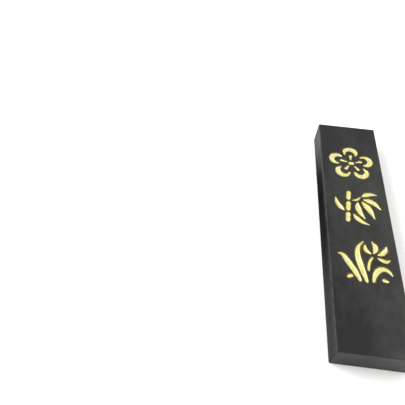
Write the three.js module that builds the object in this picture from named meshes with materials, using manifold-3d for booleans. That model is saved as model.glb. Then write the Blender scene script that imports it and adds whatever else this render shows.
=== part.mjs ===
// Ink stick: a flat bar of pressed soot and glue, ground on a wet stone to make ink. Plant motifs drawn in
// brush strokes are sunk in its front face, and each stroke is filled with its own deposit of gold paint.
//
// Millimetres, +Z up. The bar lies on its back: the origin is the centre of the back face, +Z points out of
// the front face, and +Y runs to the top end, where the motifs begin. The end at -Y is ground away in use.

import * as THREE from "three";
import { mergeVertices } from "three/addons/utils/BufferGeometryUtils.js";
import Module from "manifold-3d";

// Driving dimensions of the bar.
const WIDTH = 23;
const LENGTH = 98;
const THICKNESS = 9.2;
const EDGE_RADIUS = 0.6; // of the four long edges
const END_RADIUS = 0.3; // of the edges round each end
const EDGE_SEGMENTS = 6;
const END_SEGMENTS = 3;

// The sunk strokes and the paint that lies in them.
const STROKE_DEPTH = 0.6;
const PAINT_THICKNESS = 0.25;
const PAINT_CLEARANCE = 0.05; // between a stroke's wall and its paint, all round

// Where each motif's centre lies, down from the top end.
const PLUM_FROM_TOP = 0.93 * WIDTH;
const BAMBOO_FROM_TOP = 1.88 * WIDTH;
const ORCHID_FROM_TOP = 2.88 * WIDTH;

// How finely a stroke is drawn.
const STEPS_PER_SPAN = 3;
const CAP_STEPS = 4;
const WELD_DISTANCE = 1e-4; // points closer than this are one point

const inkMaterial = new THREE.MeshStandardMaterial({ color: 0x2b2b2d, roughness: 0.5, metalness: 0 });
const goldMaterial = new THREE.MeshStandardMaterial({ color: 0xe8cf6a, roughness: 0.4, metalness: 0.9 });

const wasm = await Module();
wasm.setup();

// Every stroke's path is a list of [x, y, half width], from where the brush lands to where it lifts. Paths
// are in the motif's own frame, with its centre at [0, 0] and +Y towards the top of the bar.

function turned(path, angle) {
  const centre = new THREE.Vector2();
  return path.map(([x, y, half]) => {
    const point = new THREE.Vector2(x, y).rotateAround(centre, angle);
    return [point.x, point.y, half];
  });
}

// Five petals drawn as open rings, a stamen in each, and the eye.
function plumStrokes() {
  const petals = 5;
  const petalFromEye = 5.4;
  const petalRadius = 2.3;
  // The brush goes round a petal from one side of its open mouth to the other: [degrees, half width].
  const petalSweep = [[-114, 0.42], [-75, 0.92], [-30, 1.16], [15, 1.08], [62, 0.8], [110, 0.3]];
  const petal = petalSweep.map(([degrees, half]) => {
    const angle = THREE.MathUtils.degToRad(degrees);
    return [petalFromEye + petalRadius * Math.cos(angle), petalRadius * Math.sin(angle), half];
  });
  const stamen = [[2.05, 0, 0.34], [2.9, 0.05, 0.42], [3.85, 0, 0.68]];
  const strokes = { plum_eye: [[-0.2, 0, 0.95], [0.2, 0, 0.95]] };
  for (let i = 0; i < petals; i++) {
    const angle = Math.PI / 2 + (i * 2 * Math.PI) / petals;
    strokes[`plum_petal_${i + 1}`] = turned(petal, angle);
    strokes[`plum_stamen_${i + 1}`] = turned(stamen, angle);
  }
  return strokes;
}

// A culm in three lengths, with a gap at each node, a twig from the upper node and six leaves.
function bambooStrokes() {
  const lengths = 3;
  const halfCulm = [[0.13, 1.1, 0.92], [0.17, 1.55, 0.74]];
  const otherHalf = halfCulm.map(([x, y, half]) => [-x, -y, half]).reverse();
  const culm = [...otherHalf, [0, 0, 0.78], ...halfCulm];
  const culmLeft = 3.1; // how far left of the motif's centre the culm stands
  const pitch = [0.52, 5.05]; // from the middle of one length to the middle of the next
  const strokes = {
    bamboo_twig: [[-1.25, 2.85, 0.3], [0.2, 3.2, 0.44], [1.4, 4.3, 0.3]],
    bamboo_leaf_1: [[2.4, 5.1, 0.3], [3.8, 6.0, 0.98], [5.6, 6.6, 0.8], [7.7, 6.4, 0.18]],
    bamboo_leaf_2: [[2.8, 3.6, 0.32], [4.6, 3.3, 1.16], [6.6, 2.0, 0.92], [8.3, -0.3, 0.18]],
    bamboo_leaf_3: [[2.1, 2.4, 0.32], [3.4, 0.6, 1.22], [4.7, -1.8, 0.98], [5.7, -4.8, 0.18]],
    bamboo_leaf_4: [[0.4, 1.9, 0.3], [0.3, -0.3, 1.12], [0.9, -2.7, 0.88], [2.3, -5.2, 0.18]],
    bamboo_leaf_5: [[-4.9, -2.1, 0.28], [-6.0, -0.8, 0.92], [-7.0, 1.1, 0.74], [-7.5, 3.4, 0.17]],
    bamboo_leaf_6: [[-1.5, -3.7, 0.28], [-0.6, -5.2, 0.94], [1.1, -6.7, 0.74], [3.4, -7.7, 0.17]],
  };
  for (let i = 0; i < lengths; i++) {
    const [x, y] = [(i - 1) * pitch[0] - culmLeft, (i - 1) * pitch[1]];
    strokes[`bamboo_culm_${i + 1}`] = culm.map(([cx, cy, half]) => [cx + x, cy + y, half]);
  }
  return strokes;
}

// Three blades, a flower on its stem, and two dots of moss at the root.
function orchidStrokes() {
  return {
    orchid_blade_1: [
      [-2.1, -7.4, 0.5], [-3.4, -4.3, 0.94], [-5.4, -0.7, 1.02], [-7.0, 1.9, 0.68], [-8.3, 2.1, 0.2],
    ],
    orchid_blade_2: [
      [0.0, -7.6, 0.5], [-1.0, -3.4, 1.0], [-1.9, 1.2, 1.06], [-1.5, 5.2, 0.68], [0.4, 7.9, 0.2],
    ],
    orchid_blade_3: [
      [2.1, -7.3, 0.48], [3.1, -4.4, 0.94], [5.1, -2.4, 1.04], [7.1, -2.7, 0.7], [8.4, -4.5, 0.2],
    ],
    orchid_stem: [[1.0, -3.3, 0.36], [1.25, -1.5, 0.48], [2.0, 0.5, 0.46], [2.8, 1.7, 0.32]],
    orchid_petal_1: [[3.5, 3.5, 0.32], [4.2, 4.9, 0.88], [4.2, 6.5, 0.88], [3.4, 8.0, 0.22]],
    orchid_petal_2: [[4.9, 3.0, 0.32], [6.3, 3.7, 0.86], [7.4, 5.0, 0.82], [8.0, 6.6, 0.22]],
    orchid_petal_3: [[4.7, 1.7, 0.32], [6.1, 1.0, 0.8], [7.3, 0.7, 0.7], [8.4, 1.3, 0.2]],
    orchid_petal_4: [[2.4, 3.3, 0.3], [1.4, 4.0, 0.72], [0.8, 5.1, 0.66], [0.9, 6.5, 0.2]],
    moss_dot_1: [[-5.0, -6.0, 0.78], [-5.8, -6.5, 0.5]],
    moss_dot_2: [[5.5, -6.5, 0.76], [6.5, -6.8, 0.48]],
  };
}

function moved(strokes, fromTop) {
  const y = LENGTH / 2 - fromTop;
  const shift = (path) => path.map(([px, py, half]) => [px, py + y, half]);
  return Object.entries(strokes).map(([name, path]) => [name, shift(path)]);
}

const strokes = new Map([
  ...moved(plumStrokes(), PLUM_FROM_TOP),
  ...moved(bambooStrokes(), BAMBOO_FROM_TOP),
  ...moved(orchidStrokes(), ORCHID_FROM_TOP),
]);

// The outline of one stroke, widened by grow on every side: up its right side, round the lifted end, down its
// left side and round the landing end. The half width is the spline's third coordinate, so the stroke swells
// as smoothly as its path bends.
function strokeOutline(path, grow) {
  const points = path.map((place) => new THREE.Vector3(...place));
  const spine = new THREE.CatmullRomCurve3(points, false, "catmullrom", 0.5);
  const steps = STEPS_PER_SPAN * (path.length - 1);
  const stations = [];
  for (let i = 0; i <= steps; i++) {
    const at = spine.getPoint(i / steps);
    const along = spine.getTangent(i / steps);
    stations.push({ x: at.x, y: at.y, half: at.z + grow, heading: Math.atan2(along.y, along.x) });
  }
  const rim = ({ x, y, half, heading }, turn) =>
    new THREE.Vector2(x + half * Math.cos(heading + turn), y + half * Math.sin(heading + turn));
  const right = stations.map((s) => rim(s, -Math.PI / 2));
  const left = stations.map((s) => rim(s, Math.PI / 2)).reverse();
  const cap = (station, from) => {
    const turns = Array.from({ length: CAP_STEPS - 1 }, (_, i) => ((i + 1) * Math.PI) / CAP_STEPS);
    return turns.map((turn) => rim(station, from + turn));
  };
  return [...right, ...cap(stations[steps], -Math.PI / 2), ...left, ...cap(stations[0], Math.PI / 2)];
}

// An outline raised into a prism from one height to another.
function prism(outline, low, high) {
  const settings = { depth: high - low, bevelEnabled: false };
  return new THREE.ExtrudeGeometry(new THREE.Shape(outline), settings).translate(0, 0, low);
}

function solidFrom(geometry) {
  const bare = geometry.index ? geometry.toNonIndexed() : geometry.clone();
  bare.deleteAttribute("normal");
  bare.deleteAttribute("uv");
  const merged = mergeVertices(bare, WELD_DISTANCE);
  return new wasm.Manifold(
    new wasm.Mesh({
      numProp: 3,
      vertProperties: merged.attributes.position.array,
      triVerts: new Uint32Array(merged.index.array),
    }),
  );
}

function geometryFrom(solid) {
  const mesh = solid.getMesh();
  const geometry = new THREE.BufferGeometry();
  geometry.setAttribute("position", new THREE.BufferAttribute(mesh.vertProperties, 3));
  geometry.setIndex(new THREE.BufferAttribute(mesh.triVerts, 1));
  geometry.computeVertexNormals();
  return geometry;
}

// A rectangle of the bar's width and thickness with rounded corners, round the origin.
function barSection() {
  const x = WIDTH / 2 - EDGE_RADIUS;
  const y = THICKNESS / 2 - EDGE_RADIUS;
  const quarter = Math.PI / 2;
  const shape = new THREE.Shape();
  shape.absarc(x, y, EDGE_RADIUS, 0, quarter);
  shape.absarc(-x, y, EDGE_RADIUS, quarter, 2 * quarter);
  shape.absarc(-x, -y, EDGE_RADIUS, 2 * quarter, 3 * quarter);
  shape.absarc(x, -y, EDGE_RADIUS, 3 * quarter, 4 * quarter);
  return shape;
}

// The bar before it is carved: its section drawn out along Y, with rounded ends.
function plainBar() {
  const geometry = new THREE.ExtrudeGeometry(barSection(), {
    depth: LENGTH - 2 * END_RADIUS,
    curveSegments: EDGE_SEGMENTS,
    bevelThickness: END_RADIUS,
    bevelSize: END_RADIUS,
    bevelOffset: -END_RADIUS,
    bevelSegments: END_SEGMENTS,
  });
  return geometry.rotateX(Math.PI / 2).translate(0, LENGTH / 2 - END_RADIUS, THICKNESS / 2);
}

// The pressed bar, with a recess for every stroke.
function inkBar() {
  let solid = solidFrom(plainBar());
  const floor = THICKNESS - STROKE_DEPTH;
  const above = THICKNESS + 1;
  for (const path of strokes.values()) {
    solid = solid.subtract(solidFrom(prism(strokeOutline(path, 0), floor, above)));
  }
  const bar = new THREE.Mesh(geometryFrom(solid), inkMaterial);
  bar.name = "ink_bar";
  return bar;
}

// The gold paint that lies on the floor of one stroke.
function goldStroke(name, path) {
  const outline = strokeOutline(path, -PAINT_CLEARANCE);
  const paint = new THREE.Mesh(prism(outline, 0, PAINT_THICKNESS), goldMaterial);
  paint.name = `${name}_gold`;
  paint.position.z = THICKNESS - STROKE_DEPTH;
  return paint;
}

const inkStick = new THREE.Group();
inkStick.add(inkBar());
for (const [name, path] of strokes) inkStick.add(goldStroke(name, path));

export default inkStick;
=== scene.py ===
"""Looks of a pressed ink stick: a charcoal bar with gold-painted strokes carved in its front face.

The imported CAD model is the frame. Every piece here is a finer version of one CAD node, in the same place:
the bar with its carved grooves, and one film of gold paint in each groove. Metres, +Z up; the bar lies on
its back, with its top end towards +Y.
"""

import math

import bmesh
import bpy
import numpy as np
from mathutils import Matrix, Vector, kdtree, noise
from mathutils.geometry import delaunay_2d_cdt


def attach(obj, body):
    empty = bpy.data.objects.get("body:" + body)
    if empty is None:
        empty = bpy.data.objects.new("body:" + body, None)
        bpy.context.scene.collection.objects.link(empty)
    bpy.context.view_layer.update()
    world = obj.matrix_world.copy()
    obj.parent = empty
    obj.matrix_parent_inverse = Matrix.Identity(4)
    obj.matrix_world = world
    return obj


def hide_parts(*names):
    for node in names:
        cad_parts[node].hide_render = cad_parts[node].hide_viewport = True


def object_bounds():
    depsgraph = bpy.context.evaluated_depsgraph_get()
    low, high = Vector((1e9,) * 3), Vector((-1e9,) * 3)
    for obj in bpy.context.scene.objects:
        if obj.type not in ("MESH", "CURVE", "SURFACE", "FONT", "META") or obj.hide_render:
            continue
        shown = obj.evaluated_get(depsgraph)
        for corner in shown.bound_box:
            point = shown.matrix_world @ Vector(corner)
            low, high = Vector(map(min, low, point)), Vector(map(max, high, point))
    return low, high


MM = 0.001

# The camera. Its place and aim are in bar widths from the middle of the top end's upper edge.
CAMERA_PLACE = (-2.124, -6.546, 5.341)
CAMERA_AIM = (-2.390, -2.161, 0)
CAMERA_ROLL = 3.919  # degrees
CAMERA_LENS = 40.06
CAMERA_SENSOR = 36

# The stage.
FLOOR_REACH = 20.0
CARD_GAP = 0.1 * MM  # between the bar and the card beside it
CARD_LIFT = 0.2 * MM  # of the card over the floor
CARD_WIDTH = 30 * MM
CARD_HEIGHT = 35 * MM
# How brightly the card glows at each y, which is in millimetres from the bar's middle towards its top end.
# The bar's left side shows this glow as a painted reflection.
CARD_SHADES = (
    (64, 1.35), (50, 1.25), (38, 0.7), (28, 0.1), (16, 0.0), (-6, 0.1), (-20, 0.4), (-30, 0.5), (-80, 0.7),
)

# Colours of the ink and of the gold paint.
INK_DARK = (0.004, 0.004, 0.004, 1)
INK_PALE = (0.032, 0.0315, 0.0308, 1)
# painted shade: the sides are drawn nearly black
INK_SIDE_SHADE = (0.001, 0.001, 0.001, 1)
# worn pale along the edges, and a painted highlight there
INK_WORN_AND_LIT = (0.04, 0.0392, 0.036, 1)
INK_STAINED = (0.13, 0.105, 0.002, 1)
GOLD_THIN = (0.27, 0.2, 0, 1)
GOLD_DEEP = (0.66, 0.61, 0.335, 1)
GOLD_PALE = (0.853, 0.828, 0.51, 1)
GOLD_RICH = (0.79, 0.735, 0.2, 1)

# The bar.
EDGE_RADIUS = 0.6 * MM  # of the four long edges
EDGE_STEPS = 8
END_RADIUS = 0.3 * MM  # of the edges round each end
END_STEPS = 5
BODY_STEP = 0.6 * MM  # between points on the sides, the back and the ends
FACE_STEP = 0.32 * MM  # between points on the front face
END_FILL = 0.94  # the share of an end's width and height that is filled with loose points
HOLLOW = 0.07 * MM  # how far the middle of each flat has sunk in drying
RIPPLE = 0.03 * MM
EDGE_WEAR = 0.08 * MM  # how far handling has taken the edges down
NICK_LEVEL = 0.34  # the noise above which an edge is nicked

# The carved strokes. A share runs from 0 at a groove's outline to 1 on its middle line.
PAINT_CLEARANCE = 0.05 * MM  # the CAD paint stops this far inside its groove
SPAN_SAMPLES = 12  # on the curve between two points of the CAD outline
OUTLINE_STEP = 0.12 * MM
OUTLINE_LEAST = 24  # points in the shortest outline
EASE_STEPS = 4  # how many outline steps a bend is eased over
TIP_ROOM = 0.3 * MM  # half the width under which a stroke's tip keeps its shape
LIP_WIDTH = 0.1 * MM  # the lip rolls over this far out from the outline
LIP_DROP = 0.06 * MM  # and this far down
LIP_STEPS = 3
STAIN_REACH = 0.45 * MM  # how far round a groove the brush has left a trace of gold
SHALLOWEST = 0.18 * MM  # how deep a groove of no width would be
DEEPENING = 0.5  # how much deeper a groove is for its half width
DEEPEST = 0.56 * MM
FLOOR_CURVE = 2.4  # the higher, the steeper the walls and the flatter the floor
GROOVE_SHARES = (0, 0.06, 0.14, 0.25, 0.38, 0.54, 0.72, 0.94)
PAINT_START = 0.07  # the share of the way in where the paint begins
PAINT_RAGGED = 0.06  # how far that share wanders
PAINT_SHARES = (0, 0.04, 0.1, 0.18, 0.27, 0.37, 0.48, 0.6, 0.72, 0.84, 0.95)
FULL_COVER = 0.3  # the share of the way in where the paint hides the ink
PAINT_FILM = 0.03 * MM  # how thick the paint lies near its edge
PAINT_POOL = 0.06 * MM  # how much thicker the paint lies on the middle line
BRUSH_RIDGE = 0.35  # how much of the paint's thickness the brush's hairs plough up
BRUSH_PER_MM = (6, 0.7)  # ridges across the stroke and along it
PAINT_UNDER = 0.004 * MM  # how far the paint's underside sinks into the groove

CAD_WELD = 0.001 * MM  # CAD points closer than this are one point
WELD = 0.0002 * MM  # and the same in the new pieces

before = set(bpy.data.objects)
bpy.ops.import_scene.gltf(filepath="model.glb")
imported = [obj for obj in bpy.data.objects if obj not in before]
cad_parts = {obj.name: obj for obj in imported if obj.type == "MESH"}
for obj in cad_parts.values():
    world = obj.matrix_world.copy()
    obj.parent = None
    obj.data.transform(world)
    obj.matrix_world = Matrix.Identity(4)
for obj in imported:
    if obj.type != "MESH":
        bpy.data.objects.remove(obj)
cad_low, cad_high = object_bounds()
centre = (cad_low + cad_high) / 2
half = (cad_high - cad_low) / 2
FACE_HEIGHT = cad_high.z
UP = (0, 0, 1)


# ---- Camera, light and floor ----


def set_camera():
    """Above the lower left of the bar, which runs down the right side of the picture."""
    width = 2 * half.x
    top_edge = Vector((0, cad_high.y, cad_high.z))
    place = top_edge + width * Vector(CAMERA_PLACE)
    aim = top_edge + width * Vector(CAMERA_AIM)
    data = bpy.data.cameras.new("camera")
    data.sensor_width = CAMERA_SENSOR
    data.lens = CAMERA_LENS
    data.clip_start = 0.01
    camera = bpy.data.objects.new("camera", data)
    facing = (aim - place).to_track_quat("-Z", "Y").to_matrix().to_4x4()
    roll = Matrix.Rotation(math.radians(CAMERA_ROLL), 4, "Z")
    camera.matrix_world = Matrix.Translation(place) @ facing @ roll
    bpy.context.scene.collection.objects.link(camera)
    bpy.context.scene.camera = camera


def add_softbox(name, place, size, power):
    """A soft lamp that faces the bar's centre."""
    data = bpy.data.lights.new(name, "AREA")
    data.shape = "RECTANGLE"
    data.size, data.size_y = size
    data.energy = power
    lamp = bpy.data.objects.new(name, data)
    lamp.location = place
    lamp.rotation_euler = (centre - Vector(place)).to_track_quat("-Z", "Y").to_euler()
    bpy.context.scene.collection.objects.link(lamp)


def light_studio():
    world = bpy.data.worlds.new("studio")
    world.use_nodes = True
    sky = world.node_tree.nodes["Background"]
    sky.inputs["Color"].default_value = (1.0, 0.995, 0.985, 1)
    sky.inputs["Strength"].default_value = 1.0
    bpy.context.scene.world = world
    bpy.context.scene.view_settings.view_transform = "Standard"
    add_softbox("key_softbox", (-0.42, 0.05, 0.32), (0.35, 0.35), 2.4)
    add_softbox("right_softbox", (0.32, 0.1, 0.2), (0.25, 0.25), 0.3)
    add_softbox("edge_softbox", (-0.45, 0.22, 0.15), (0.3, 0.12), 0.6)


def add_sheet(name, rows, material):
    """A sheet through equal rows of points, which isn't part of the object."""
    mesh = bpy.data.meshes.new(name)
    count = len(rows[0])
    starts = [count * i + j for i in range(len(rows) - 1) for j in range(count - 1)]
    faces = [(start, start + 1, start + count + 1, start + count) for start in starts]
    mesh.from_pydata([point for row in rows for point in row], [], faces)
    mesh.materials.append(material)
    sheet = bpy.data.objects.new(name, mesh)
    bpy.context.scene.collection.objects.link(sheet)
    return sheet


def lay_floor():
    material = bpy.data.materials.new("floor_paper")
    material.use_nodes = True
    shader = material.node_tree.nodes["Principled BSDF"]
    shader.inputs["Base Color"].default_value = (0.95, 0.945, 0.935, 1)
    shader.inputs["Roughness"].default_value = 0.8
    reach = (-FLOOR_REACH, FLOOR_REACH)
    add_sheet("floor", [[(x, y, 0) for x in reach] for y in reach], material)


def lay_reflection_card():
    """A glowing card, though no lamp, that lies along the bar's left side and turns up at its far edge. It
    is bright beside the top end, black half way and grey below, and only gloss sees it: a painted reflection
    on that side."""
    material = bpy.data.materials.new("painted_reflection_card")
    material.use_nodes = True
    tree = material.node_tree
    tree.nodes.remove(tree.nodes["Principled BSDF"])
    glow = tree.nodes.new("ShaderNodeEmission")
    shade = tree.nodes.new("ShaderNodeAttribute")
    shade.attribute_name = "shade"
    tree.links.new(shade.outputs["Fac"], glow.inputs["Strength"])
    tree.links.new(glow.outputs["Emission"], tree.nodes["Material Output"].inputs["Surface"])
    near, far = -half.x - CARD_GAP, -half.x - CARD_WIDTH
    profile = ((far, CARD_HEIGHT), (far, CARD_LIFT), (near, CARD_LIFT))
    rows = [[(x, y * MM, z) for x, z in profile] for y, _ in CARD_SHADES]
    card = add_sheet("painted_reflection_card", rows, material)
    shades = [shade for _, shade in CARD_SHADES for _ in rows[0]]
    card.data.attributes.new("shade", "FLOAT", "POINT").data.foreach_set("value", shades)
    # Painted reflection: the card is seen only in the bar's gloss.
    card.visible_camera = card.visible_diffuse = card.visible_shadow = card.visible_transmission = False


# ---- Materials ----


class Shader:
    """A new material and the nodes behind its Principled shader. Textures measure in millimetres."""

    def __init__(self, name):
        self.material = bpy.data.materials.new(name)
        self.material.use_nodes = True
        self.tree = self.material.node_tree
        self.surface = self.tree.nodes["Principled BSDF"]
        self.place = self.add("ShaderNodeTexCoord").outputs["Object"]

    def add(self, kind, settings=(), **inputs):
        node = self.tree.nodes.new(kind)
        for key, value in dict(settings).items():
            setattr(node, key, value)
        for key, value in inputs.items():
            self.feed(node.inputs[key.replace("_", " ")], value)
        return node

    def feed(self, socket, value):
        if isinstance(value, bpy.types.NodeSocket):
            self.tree.links.new(value, socket)
        else:
            socket.default_value = value

    def noise(self, per_mm, detail=2.0, roughness=0.5, shift=(0, 0, 0), place=None):
        """Noise from 0 to 1, with its own repeats per millimetre along each axis."""
        scale = Vector(per_mm) / MM
        mapping = self.add("ShaderNodeMapping", Vector=place or self.place, Scale=scale, Location=shift)
        texture = self.add("ShaderNodeTexNoise", Vector=mapping.outputs[0], Scale=1, Detail=detail)
        texture.inputs["Roughness"].default_value = roughness
        return texture.outputs["Fac"]

    def remap(self, value, low, high, to_low=0.0, to_high=1.0):
        node = self.add("ShaderNodeMapRange", Value=value, From_Min=low, From_Max=high)
        node.inputs["To Min"].default_value = to_low
        node.inputs["To Max"].default_value = to_high
        return node.outputs["Result"]

    def math(self, operation, a, b=0):
        node = self.add("ShaderNodeMath", {"operation": operation})
        self.feed(node.inputs[0], a)
        self.feed(node.inputs[1], b)
        return node.outputs[0]

    def total(self, value, *others):
        """The sum of all the values."""
        for other in others:
            value = self.math("ADD", value, other)
        return value

    def mix(self, share, a, b):
        node = self.add("ShaderNodeMix", {"data_type": "RGBA"})
        self.feed(node.inputs["Factor"], share)
        self.feed(node.inputs[6], a)
        self.feed(node.inputs[7], b)
        return node.outputs[2]

    def attribute(self, name):
        return self.add("ShaderNodeAttribute", {"attribute_name": name}).outputs["Fac"]

    def bump(self, *heights):
        """Stacks (height, millimetres) pairs into one bumped normal."""
        normal = None
        for height, depth in heights:
            node = self.add("ShaderNodeBump", Height=height, Distance=depth * MM)
            if normal is not None:
                self.feed(node.inputs["Normal"], normal)
            normal = node.outputs["Normal"]
        self.feed(self.surface.inputs["Normal"], normal)


def ink_wear_and_highlight(s, on_side, height):
    """1 where the ink is rubbed pale, which also paints a highlight: in patches along the edges, and fading
    down the sides.
    """
    # Painted highlight: the upper edge of each side is drawn paler, fading downwards.
    painted_side_shading = s.remap(height, FACE_HEIGHT - 2.6 * MM, FACE_HEIGHT - 0.4 * MM, 0, 0.55)
    rubbed_and_highlit = s.math("MAXIMUM", s.attribute("edge"), s.math("MULTIPLY", on_side, painted_side_shading))
    patches = s.remap(s.noise((0.9, 0.35, 0.9), detail=3), 0.3, 0.62)
    return s.math("MULTIPLY", rubbed_and_highlit, patches)


def ink_stain(s):
    """1 where the brush has left gold on the ink beside a groove, with a ragged edge."""
    fine = s.remap(s.noise((2.4, 2.4, 2.4), detail=3, shift=(2, 5, 1)), 0.3, 0.7, -0.4, 0.4)
    coarse = s.remap(s.noise((0.5, 0.5, 0.5), shift=(7, 1, 4)), 0.3, 0.7, -0.4, 0.25)
    return s.remap(s.total(s.attribute("stain"), fine, coarse), 0.65, 1.05)


def ink_material():
    """Dried soot and glue: charcoal with a faint waxed sheen, streaked lengthwise by mould and handling. Its
    colour also holds painted sheen, shade and highlight.
    """
    s = Shader("pressed_ink")
    across, along, height = s.add("ShaderNodeSeparateXYZ", Vector=s.place).outputs
    on_side = s.remap(s.math("ABSOLUTE", across), half.x - 0.4 * MM, half.x - 0.15 * MM)
    streaks = s.noise((1.6, 0.05, 1.6), detail=4)
    # Painted sheen: broad lighter and darker patches over the ink.
    painted_sheen_patches = s.noise((0.05, 0.03, 0.05), detail=1, shift=(8.3, 16.1, 0.7))
    clouds = s.noise((0.1, 0.06, 0.1), detail=4, shift=(3, 1, 5))
    mottle = s.noise((0.4, 0.25, 0.4), detail=3, shift=(4, 6, 3))
    grain = s.noise((3.2, 3.2, 3.2), detail=3, shift=(1, 7, 2))
    scratches = s.remap(s.noise((2.6, 0.03, 2.6), detail=3, shift=(5, 2, 8)), 0.6, 0.68)
    pits = s.remap(s.noise((1.5, 1.5, 1.5), detail=2, shift=(6, 3, 2)), 0.3, 0.22)
    # Painted shade: the front is drawn darker towards its lower left.
    painted_shade_lower_left = s.math("MULTIPLY", s.remap(along, 0, -40 * MM), s.remap(across, 10 * MM, -4 * MM))
    tone = s.total(
        s.remap(painted_sheen_patches, 0.35, 0.65, 0, 0.4),
        s.remap(clouds, 0.3, 0.7, 0, 0.4),
        s.remap(mottle, 0.3, 0.7, -0.16, 0.16),
        s.remap(streaks, 0.35, 0.65, 0, 0.1),
        s.remap(grain, 0.35, 0.7, 0, 0.1),
        s.math("MULTIPLY", scratches, 0.22),
        s.math("MULTIPLY", painted_shade_lower_left, -0.5),
        # Painted sheen: the front is drawn lighter towards its right side and its lower end, darker at its
        # top end.
        s.remap(across, -half.x, half.x, -0.12, 0.12),
        s.remap(along, -half.y, half.y, 0.21, -0.35),
    )
    # Painted shade: both sides are drawn nearly black, less so near the front face.
    painted_side_shading = s.remap(height, FACE_HEIGHT - 4 * MM, FACE_HEIGHT - 0.3 * MM, 0.8, 0.2)
    colour = s.mix(tone, INK_DARK, INK_PALE)
    colour = s.mix(s.math("MULTIPLY", on_side, painted_side_shading), colour, INK_SIDE_SHADE)
    colour = s.mix(ink_stain(s), colour, INK_STAINED)
    colour = s.mix(ink_wear_and_highlight(s, on_side, height), colour, INK_WORN_AND_LIT)
    s.feed(s.surface.inputs["Base Color"], colour)
    polish = s.math("MULTIPLY", s.attribute("edge"), -0.06)
    roughness = s.total(s.remap(streaks, 0.3, 0.7, 0, 0.06), s.remap(clouds, 0.3, 0.7, 0.43, 0.52), polish)
    s.feed(s.surface.inputs["Roughness"], roughness)
    s.surface.inputs["Specular IOR Level"].default_value = 0.32
    s.bump((streaks, 0.012), (clouds, 0.05), (grain, 0.03), (scratches, -0.01), (pits, -0.06))
    return s.material


def gold_material():
    """Brushed gold-powder paint: thin and olive brown at a groove's edge, and pale lemon where it pools,
    with patches of a richer yellow."""
    s = Shader("gold_paint")
    flakes = s.noise((9, 9, 9), detail=3, shift=(4, 4, 1))
    patches = s.noise((1.1, 1.1, 1.1), detail=3)
    in_stroke = s.add("ShaderNodeCombineXYZ", X=s.attribute("across"), Y=s.attribute("along")).outputs[0]
    hairs = s.noise((6, 0.35, 1), detail=2, roughness=0.6, place=in_stroke)
    brushed = s.total(
        s.remap(s.attribute("brush"), -0.4, 0.4),
        s.remap(hairs, 0.3, 0.7, -0.4, 0.4),
        s.remap(flakes, 0.3, 0.7, -0.25, 0.25),
    )
    richer = s.remap(s.noise((0.45, 0.45, 0.45), detail=2, shift=(9, 3, 6)), 0.42, 0.58, 0, 0.75)
    paint = s.mix(richer, s.mix(brushed, GOLD_DEEP, GOLD_PALE), GOLD_RICH)
    cover = s.math("MULTIPLY", s.attribute("cover"), s.remap(patches, 0.25, 0.5, 0.7, 1))
    s.feed(s.surface.inputs["Base Color"], s.mix(cover, GOLD_THIN, paint))
    s.surface.inputs["Metallic"].default_value = 0.7
    s.feed(s.surface.inputs["Roughness"], s.remap(flakes, 0.3, 0.7, 0.32, 0.56))
    s.bump((patches, 0.03), (hairs, 0.03), (flakes, 0.015))
    return s.material


# ---- The shape of a stroke ----


def paint_outline(node):
    """The edge of a CAD paint node's upper face, counter-clockwise, as x, y rows."""
    mesh = bmesh.new()
    mesh.from_mesh(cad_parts[node].data)
    bmesh.ops.remove_doubles(mesh, verts=mesh.verts, dist=CAD_WELD)
    mesh.normal_update()
    upper = {face for face in mesh.faces if face.normal.z > 0.9}
    after = {}
    for face in upper:
        for loop in face.loops:
            if not upper.issuperset(loop.edge.link_faces):
                after[loop.vert] = loop.link_loop_next.vert
    walk = [min(after, key=lambda vertex: tuple(vertex.co))]
    while after[walk[-1]] is not walk[0]:
        walk.append(after[walk[-1]])
    outline = np.array([vertex.co.xy for vertex in walk], float)
    mesh.free()
    return outline


def smooth_closed(points, step):
    """Evenly spaced points on the centripetal Catmull-Rom curve through a closed row of points."""
    samples = np.linspace(0, 1, SPAN_SAMPLES, endpoint=False)[:, None]
    fine = []
    rows = [np.roll(points, shift, axis=0) for shift in (1, 0, -1, -2)]
    for p0, p1, p2, p3 in zip(*rows):
        t1 = np.linalg.norm(p1 - p0) ** 0.5
        t2 = t1 + np.linalg.norm(p2 - p1) ** 0.5
        t3 = t2 + np.linalg.norm(p3 - p2) ** 0.5
        t = t1 + samples * (t2 - t1)
        a1 = (t1 - t) / t1 * p0 + t / t1 * p1
        a2 = (t2 - t) / (t2 - t1) * p1 + (t - t1) / (t2 - t1) * p2
        a3 = (t3 - t) / (t3 - t2) * p2 + (t - t2) / (t3 - t2) * p3
        b1 = (t2 - t) / t2 * a1 + t / t2 * a2
        b2 = (t3 - t) / (t3 - t1) * a2 + (t - t1) / (t3 - t1) * a3
        fine.append((t2 - t) / (t2 - t1) * b1 + (t - t1) / (t2 - t1) * b2)
    loop = np.concatenate(fine + [fine[0][:1]])
    travelled = np.concatenate(([0], np.cumsum(np.linalg.norm(np.diff(loop, axis=0), axis=1))))
    count = max(OUTLINE_LEAST, round(travelled[-1] / step))
    places = np.linspace(0, travelled[-1], count, endpoint=False)
    return np.stack([np.interp(places, travelled, loop[:, axis]) for axis in (0, 1)], axis=1)


def inward_normals(outline):
    along = np.roll(outline, -1, axis=0) - np.roll(outline, 1, axis=0)
    along /= np.linalg.norm(along, axis=1)[:, None]
    return np.stack((-along[:, 1], along[:, 0]), axis=1)


def room_inside(outline, inward):
    """For each outline point, the radius of the largest circle inside the stroke that touches it there."""
    level = 1e-12  # points that lie no further inward than this put no limit on the circle
    between = outline[None] - outline[:, None]
    facing = np.einsum("ijk,ik->ij", between, inward)
    squared = (between**2).sum(axis=2)
    radius = np.where(facing > level, squared / np.maximum(2 * facing, level), np.inf).min(axis=1)
    smooth = sum(np.roll(radius, shift) for shift in range(-2, 3)) / 5
    return np.minimum(radius, smooth)


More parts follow.
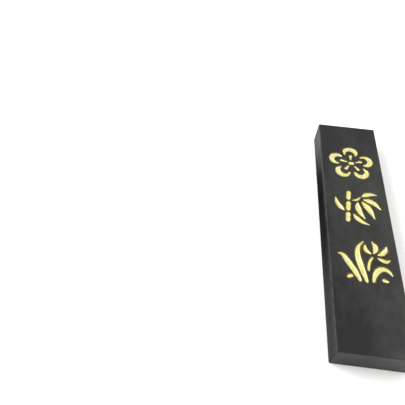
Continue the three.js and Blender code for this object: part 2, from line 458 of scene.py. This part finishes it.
def blurred(rows, steps):
    """Each row averaged with its neighbours round the loop, out to about that many steps."""
    shifts = np.arange(-3 * steps, 3 * steps + 1)
    weights = np.exp(-0.5 * (shifts / steps) ** 2)
    weights /= weights.sum()
    return sum(weight * np.roll(rows, shift, axis=0) for weight, shift in zip(weights, shifts))


def eased(outline):
    """The outline with its sharp bends rounded off, but not at the tips, where the stroke is narrow. A
    blurred outline shrinks. Blurring it again shows by how much, and that much is put back."""
    wide = np.clip(room_inside(outline, inward_normals(outline)) / TIP_ROOM - 1, 0, 1)
    once = blurred(outline, EASE_STEPS)
    twice = blurred(once, EASE_STEPS)
    return outline + blurred(wide, EASE_STEPS)[:, None] * (2 * once - twice - outline)


class Stroke:
    """One groove in the front face."""

    def __init__(self, node):
        self.node = node
        edge = smooth_closed(paint_outline(node), OUTLINE_STEP)
        self.outline = eased(edge - inward_normals(edge) * PAINT_CLEARANCE)
        self.inward = inward_normals(self.outline)
        self.room = room_inside(self.outline, self.inward)

    def outside(self, distance):
        return self.outline - self.inward * distance

    def ring(self, share, height=0.0):
        """Points a share of the way in to the middle line, and a height above the groove's surface."""
        full = np.minimum(DEEPEST, SHALLOWEST + DEEPENING * self.room)
        depth = LIP_DROP + (full - LIP_DROP) * (1 - (1 - share) ** FLOOR_CURVE)
        flat = self.outline + self.inward * (share * self.room)[:, None]
        return np.column_stack((flat, FACE_HEIGHT - depth + height))

    def lip(self):
        """Rings that roll over from the flat face to the groove's outline."""
        for angle in np.linspace(0, math.pi / 2, LIP_STEPS, endpoint=False):
            flat = self.outside(LIP_WIDTH * (1 - math.sin(angle)))
            drop = LIP_DROP * (1 - math.cos(angle))
            yield np.column_stack((flat, np.full(len(flat), FACE_HEIGHT - drop)))


def inside(points, outline):
    """Which points lie inside a closed outline."""
    x, y = points[:, 0, None], points[:, 1, None]
    x1, y1 = outline.T
    x2, y2 = np.roll(outline, -1, axis=0).T
    spans = (y1 > y) != (y2 > y)
    rise = np.where(y2 == y1, 1.0, y2 - y1)
    crosses = spans & (x < x1 + (y - y1) / rise * (x2 - x1))
    return crosses.sum(axis=1) % 2 == 1


def triangulate(loops, loose=()):
    """Triangles over closed loops of x, y points and the loose points between them. Each corner is a number,
    counted through the loops and then the loose points."""
    points = np.concatenate([*loops, *([loose] if len(loose) else [])])
    edges, start = [], 0
    for loop in loops:
        count = len(loop)
        edges += [(start + i, start + (i + 1) % count) for i in range(count)]
        start += count
    coords = [Vector(p) for p in points / MM]
    _, _, triangles, sources, _, _ = delaunay_2d_cdt(coords, edges, [], 1, 0)
    return [[sources[corner][0] for corner in triangle] for triangle in triangles]


# ---- The surface of the pressed bar ----


class Surface:
    """Points, the direction that the bar's surface faces at each, and faces, gathered into one mesh."""

    def __init__(self):
        self.points, self.normals, self.faces, self.count = [], [], [], 0

    def add(self, points, normals=UP):
        """Returns the new points' numbers."""
        points = np.asarray(points, float)
        self.points.append(points)
        self.normals.append(np.broadcast_to(np.asarray(normals, float), points.shape))
        start = self.count
        self.count += len(points)
        return np.arange(start, self.count)

    def join_rows(self, first, second, closed=True):
        """Faces between two rows of points that match one to one."""
        last = len(first) if closed else len(first) - 1
        for i in range(last):
            after = (i + 1) % len(first)
            self.faces.append((first[i], first[after], second[after], second[i]))

    def fill(self, numbers, triangles):
        self.faces += [tuple(numbers[triangle]) for triangle in triangles]

    def whole(self):
        return np.concatenate(self.points), np.concatenate(self.normals)


def edge_share(normals):
    """0 on the flats, 1 along the middle of a rounded edge and more on a corner."""
    return (1 - np.abs(normals).max(axis=1)) / (1 - math.sqrt(0.5))


def noise_at(points, per_mm, seed):
    shift = Vector((seed * 13.7, seed * 5.3, seed * 9.1))
    return np.array([noise.noise(Vector(point) + shift) for point in points * (per_mm / MM)])


def weathered(points, normals):
    """Where points of the bar's surface lie once it has sunk in drying and been worn by handling."""
    edge = edge_share(normals)
    share = np.abs(points - np.array(centre)) / np.array(half)
    level = np.prod(1 - (1 - normals**2) * share**4, axis=1)
    inward = HOLLOW * level * (1 - np.minimum(edge, 1)) ** 2
    inward += RIPPLE * (0.5 + 0.5 * noise_at(points, per_mm=0.16, seed=1))
    inward += RIPPLE * 0.3 * noise_at(points, per_mm=0.8, seed=2)
    worn = 0.55 + 0.25 * noise_at(points, per_mm=0.3, seed=3)
    nicked = np.maximum(0, noise_at(points, per_mm=0.9, seed=4) - NICK_LEVEL)
    inward += EDGE_WEAR * edge * (worn + 3 * nicked)
    return points - normals * inward[:, None]


def bar_section():
    """The bar's outline seen from its end: x, z rows, the x, z directions they face, and how many are on
    the front. It runs over the front from left to right, down the right side, and round by the back."""
    core = np.array((half.x, half.z)) - EDGE_RADIUS
    flats = [np.linspace(-length, length, max(2, round(2 * length / BODY_STEP)) + 1) for length in core]
    places, facings = [], []
    for turn in range(4):
        row, reach = flats[turn % 2], core[1 - turn % 2]
        heading = -turn * math.pi / 2
        right = np.array((math.cos(heading), math.sin(heading)))
        out = np.array((math.sin(-heading), math.cos(heading)))
        places += [right * step + out * (reach + EDGE_RADIUS) for step in row]
        facings += [out] * len(row)
        corner = right * row[-1] + out * reach
        for angle in np.linspace(0, math.pi / 2, EDGE_STEPS + 1)[1:-1]:
            facing = out * math.cos(angle) + right * math.sin(angle)
            places.append(corner + facing * EDGE_RADIUS)
            facings.append(facing)
    return np.array(places), np.array(facings), len(flats[0])


def add_shell(surface):
    """The bar's surface, open where the front's flat goes. Returns that flat's border, as x, y rows."""
    section, facing, front_count = bar_section()

    def section_ring(y, inset=0.0, tilt=0.0):
        flat = section - facing * inset
        points = np.column_stack((flat[:, 0], np.full(len(flat), y), flat[:, 1] + centre.z))
        turned = np.column_stack((facing[:, 0], np.zeros(len(flat)), facing[:, 1])) * math.cos(tilt)
        turned[:, 1] = math.sin(tilt)
        return points, turned

    core = half.y - END_RADIUS
    stations = np.linspace(-core, core, round(2 * core / BODY_STEP) + 1)
    rows = [surface.add(*section_ring(y)) for y in stations]
    sides = [np.append(row[front_count - 1:], row[0]) for row in rows]
    for first, second in zip(sides, sides[1:]):
        surface.join_rows(first, second, closed=False)
    for side, row in ((-1, rows[0]), (1, rows[-1])):
        for angle in np.linspace(0, math.pi / 2, END_STEPS + 1)[1:]:
            inset = END_RADIUS * (1 - math.cos(angle))
            points, turned = section_ring(side * (core + END_RADIUS * math.sin(angle)), inset, side * angle)
            further = surface.add(points, turned)
            surface.join_rows(row, further)
            row = further
        rim = points[:, [0, 2]]
        loose = spread_points(rim.min(axis=0), rim.max(axis=0), BODY_STEP)
        loose = loose[inside(loose, scaled(rim, END_FILL))]
        inner = np.column_stack((loose[:, 0], np.full(len(loose), side * half.y), loose[:, 1]))
        numbers = np.concatenate((row, surface.add(inner, (0, side, 0))))
        surface.fill(numbers, triangulate([rim], loose))
    x = section[:front_count, 0]
    near = [(place, stations[0]) for place in x]
    right = [(x[-1], place) for place in stations[1:]]
    far = [(place, stations[-1]) for place in x[-2::-1]]
    left = [(x[0], place) for place in stations[-2:0:-1]]
    return np.array(near + right + far + left)


def scaled(outline, share):
    middle = (outline.min(axis=0) + outline.max(axis=0)) / 2
    return middle + (outline - middle) * share


def spread_points(low, high, step):
    """Points in staggered rows over a rectangle, half a step or more from its sides."""
    rows = np.arange(low[1] + 0.75 * step, high[1] - 0.5 * step, step * math.sqrt(0.75))
    spread = []
    for number, y in enumerate(rows):
        x = np.arange(low[0] + step * (0.75 + 0.5 * (number % 2)), high[0] - 0.5 * step, step)
        spread.append(np.column_stack((x, np.full(len(x), y))))
    return np.concatenate(spread)


def stain_round(strokes, points):
    """1 along the grooves' rims, fading to 0 on either side of them."""
    rims = np.concatenate([stroke.outside(LIP_WIDTH) for stroke in strokes])
    tree = kdtree.KDTree(len(rims))
    for number, rim in enumerate(rims):
        tree.insert((*rim, FACE_HEIGHT), number)
    tree.balance()
    distance = np.array([tree.find(point)[2] for point in points])
    return np.maximum(0, 1 - distance / STAIN_REACH)


def pressed_bar(strokes, material):
    surface = Surface()
    border = add_shell(surface)
    rims = [stroke.outside(LIP_WIDTH) for stroke in strokes]
    loops = [border, *rims]
    loose = spread_points(border.min(axis=0), border.max(axis=0), FACE_STEP)
    for stroke in strokes:
        loose = loose[~inside(loose, stroke.outside(LIP_WIDTH + 0.5 * FACE_STEP))]
    flat = np.concatenate([*loops, loose])
    numbers = surface.add(np.column_stack((flat, np.full(len(flat), FACE_HEIGHT))))
    triangles = np.array(triangulate(loops, loose))
    middles = flat[triangles].mean(axis=1)
    carved = np.any([inside(middles, rim) for rim in rims], axis=0)
    surface.fill(numbers, triangles[~carved])
    for stroke in strokes:
        rings = [*stroke.lip(), *(stroke.ring(share) for share in GROOVE_SHARES)]
        numbers = [surface.add(ring) for ring in rings]
        for outer, inner in zip(numbers, numbers[1:]):
            surface.join_rows(outer, inner)
        surface.fill(numbers[-1], triangulate([rings[-1][:, :2]]))
    points, normals = surface.whole()
    attributes = {"edge": edge_share(normals), "stain": stain_round(strokes, points)}
    bar = new_piece("pressed_bar", weathered(points, normals), surface.faces, material, attributes)
    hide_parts("ink_bar")


def way_round(outline):
    """How far each point of a closed outline is from its first, the shorter way round."""
    steps = np.linalg.norm(np.roll(outline, -1, axis=0) - outline, axis=1)
    along = np.concatenate(([0], np.cumsum(steps)[:-1]))
    return np.minimum(along, steps.sum() - along)


def brush_mark(across, along):
    """The ridges that the brush leaves, about -0.5 to 0.5: long down the stroke and fine across it."""
    fine, long = BRUSH_PER_MM
    return noise_at(np.column_stack((across * fine, along * long, along * 0)), per_mm=1, seed=6)


def gold_film(stroke, material):
    """The paint in one groove: a film that starts raggedly below the lip and pools towards the middle."""
    outline = np.column_stack((stroke.outline, np.zeros(len(stroke.outline))))
    start = PAINT_START + PAINT_RAGGED * noise_at(outline, per_mm=1.3, seed=5)
    shares = [start + (1 - start) * step for step in PAINT_SHARES]
    along = way_round(stroke.outline)
    across = [share * stroke.room for share in shares]
    marks = [brush_mark(way_in, along) for way_in in across]
    surface = Surface()
    upper = []
    for step, share, mark in zip(PAINT_SHARES, shares, marks):
        depth = PAINT_FILM * min(1, step / PAINT_SHARES[1]) + PAINT_POOL * step
        upper.append(surface.add(stroke.ring(share, depth * (1 + BRUSH_RIDGE * mark))))
    under = upper[:1] + [surface.add(stroke.ring(share, -PAINT_UNDER)) for share in shares[1:]]
    middle = stroke.ring(shares[-1])[:, :2]
    for rings in (upper, under):
        for outer, inner in zip(rings, rings[1:]):
            surface.join_rows(outer, inner)
        surface.fill(rings[-1], triangulate([middle]))
    covers = [np.full(len(start), min(1.0, step / FULL_COVER)) for step in PAINT_SHARES]
    rings = {"cover": covers, "brush": marks, "across": across, "along": [along] * len(shares)}
    attributes = {key: np.concatenate(values + values[1:]) for key, values in rings.items()}
    name = stroke.node.replace("_gold", "_paint")
    film = new_piece(name, weathered(*surface.whole()), surface.faces, material, attributes)
    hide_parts(stroke.node)


def new_piece(name, points, faces, material, attributes):
    """A closed, smooth mesh that rides on the bar's body. Its attributes are numbers for each vertex, which
    its material reads."""
    mesh = bpy.data.meshes.new(name)
    mesh.from_pydata(points.tolist(), [], [tuple(int(corner) for corner in face) for face in faces])
    for key, values in attributes.items():
        mesh.attributes.new(key, "FLOAT", "POINT").data.foreach_set("value", np.asarray(values, np.float32))
    welded = bmesh.new()
    welded.from_mesh(mesh)
    bmesh.ops.remove_doubles(welded, verts=welded.verts, dist=WELD)
    bmesh.ops.recalc_face_normals(welded, faces=welded.faces)
    welded.to_mesh(mesh)
    welded.free()
    mesh.materials.append(material)
    mesh.shade_smooth()
    piece = bpy.data.objects.new(name, mesh)
    bpy.context.scene.collection.objects.link(piece)
    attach(piece, "root")
    return piece


set_camera()
light_studio()
lay_floor()
lay_reflection_card()
strokes = [Stroke(node) for node in sorted(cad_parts) if node.endswith("_gold")]
pressed_bar(strokes, ink_material())
gold = gold_material()
for stroke in strokes:
    gold_film(stroke, gold)
